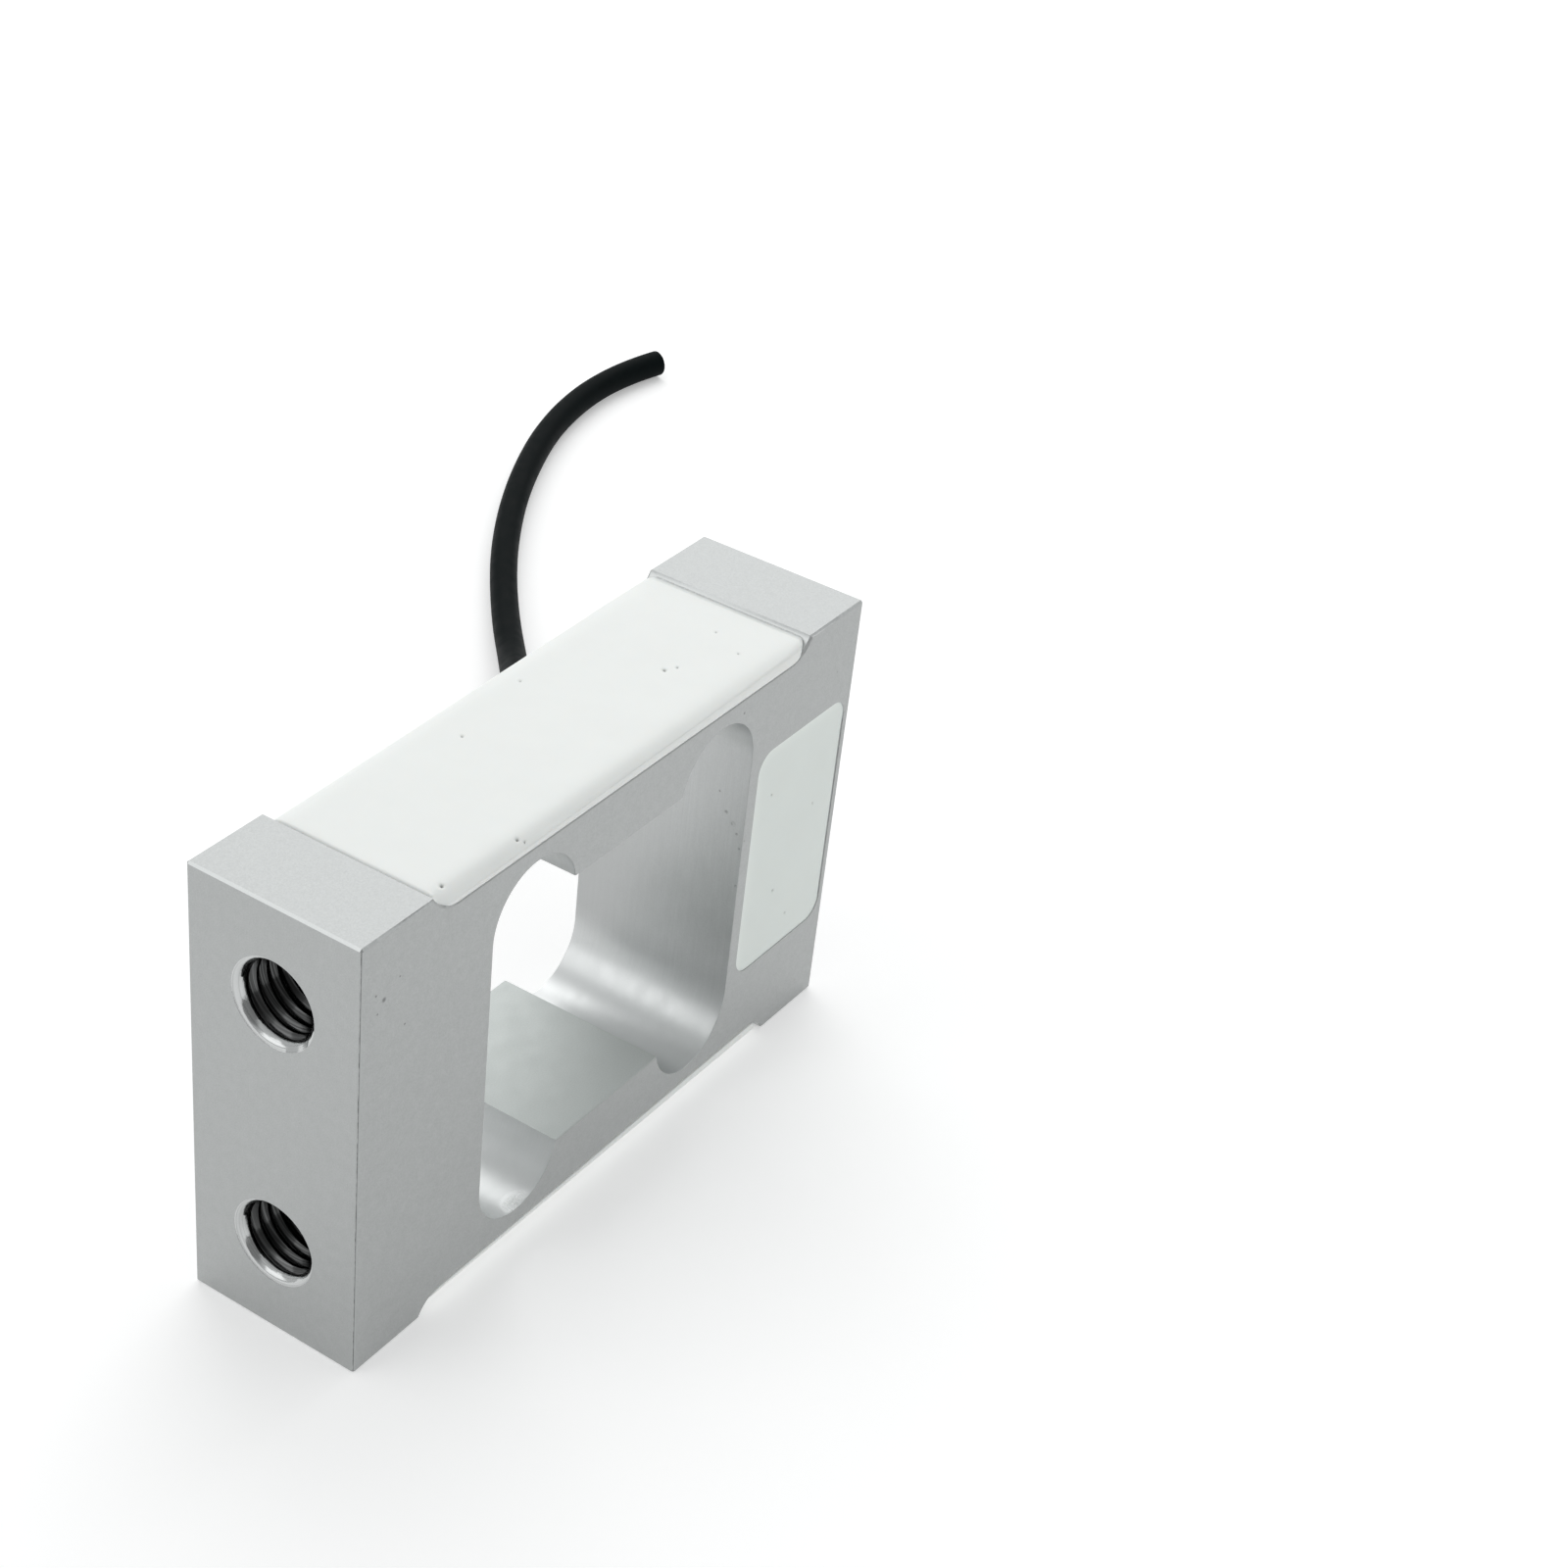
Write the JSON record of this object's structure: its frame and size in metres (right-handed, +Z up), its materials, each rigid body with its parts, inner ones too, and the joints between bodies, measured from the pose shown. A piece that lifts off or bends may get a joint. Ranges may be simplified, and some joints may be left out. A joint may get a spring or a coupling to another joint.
{
  "type": "single point load cell",
  "caption": "Aluminium bar load cell with a lobed window, white silicone over its strain gauges, tapped ends and a black cable that lies on the bench.",
  "frame": {"origin": "middle of the bar's underside, at the level of its bottom lands", "axes": "+X along the bar towards the end with the wiring pocket, +Y across it towards the cable side, +Z up"},
  "size_m": [0.2509, 0.1371, 0.0635],
  "materials": {
    "aluminium": "fine matt blast, clear anodised, bright broken edges",
    "silicone": "smooth satin white silicone with a few fine pinholes",
    "cable_jacket": "satin black PVC",
    "seal_rubber": "dull black rubber",
    "polyimide": "amber film",
    "gauge_foil": "etched constantan foil",
    "copper": "bare copper",
    "solder": "bright satin solder",
    "lead_enamel": "red enamel",
    "board_green": "satin green solder mask",
    "resistor_black": "black glaze",
    "brass": "turned brass",
    "braid_tin": "tinned copper braid",
    "core_red": "red insulation",
    "core_green": "green insulation",
    "core_white": "white insulation",
    "core_black": "black insulation"
  },
  "bodies": {
    "root": {"board_pads": "copper", "bridge_board": "board_green", "cable": "cable_jacket", "cable_braid": "braid_tin", "cable_ferrule": "brass", "cable_jacket_inner": "cable_jacket", "cable_seal": "seal_rubber", "core_black": "core_black", "core_green": "core_green", "core_red": "core_red", "core_white": "core_white", "drain_wire": "braid_tin", "gauge_carrier_bottom_far": "polyimide", "gauge_carrier_bottom_near": "polyimide", "gauge_carrier_top_far": "polyimide", "gauge_carrier_top_near": "polyimide", "gauge_grid_bottom_far": "gauge_foil", "gauge_grid_bottom_near": "gauge_foil", "gauge_grid_top_far": "gauge_foil", "gauge_grid_top_near": "gauge_foil", "gauge_leads_bottom": "lead_enamel", "gauge_leads_top": "lead_enamel", "gauge_ribbons_bottom_far": "solder", "gauge_ribbons_bottom_near": "solder", "gauge_ribbons_top_far": "solder", "gauge_ribbons_top_near": "solder", "resistor_end_caps": "solder", "silicone_bottom": "silicone", "silicone_pocket": "silicone", "silicone_top": "silicone", "solder_dots_bottom_far": "solder", "solder_dots_bottom_near": "solder", "solder_dots_top_far": "solder", "solder_dots_top_near": "solder", "span_resistor": "resistor_black", "spring_element": "aluminium", "temperature_resistor": "resistor_black", "terminal_pads_bottom_far": "copper", "terminal_pads_bottom_near": "copper", "terminal_pads_top_far": "copper", "terminal_pads_top_near": "copper", "terminal_strip_bottom_far": "polyimide", "terminal_strip_bottom_near": "polyimide", "terminal_strip_top_far": "polyimide", "terminal_strip_top_near": "polyimide", "zero_resistor": "resistor_black"}
  },
  "joints": []
}
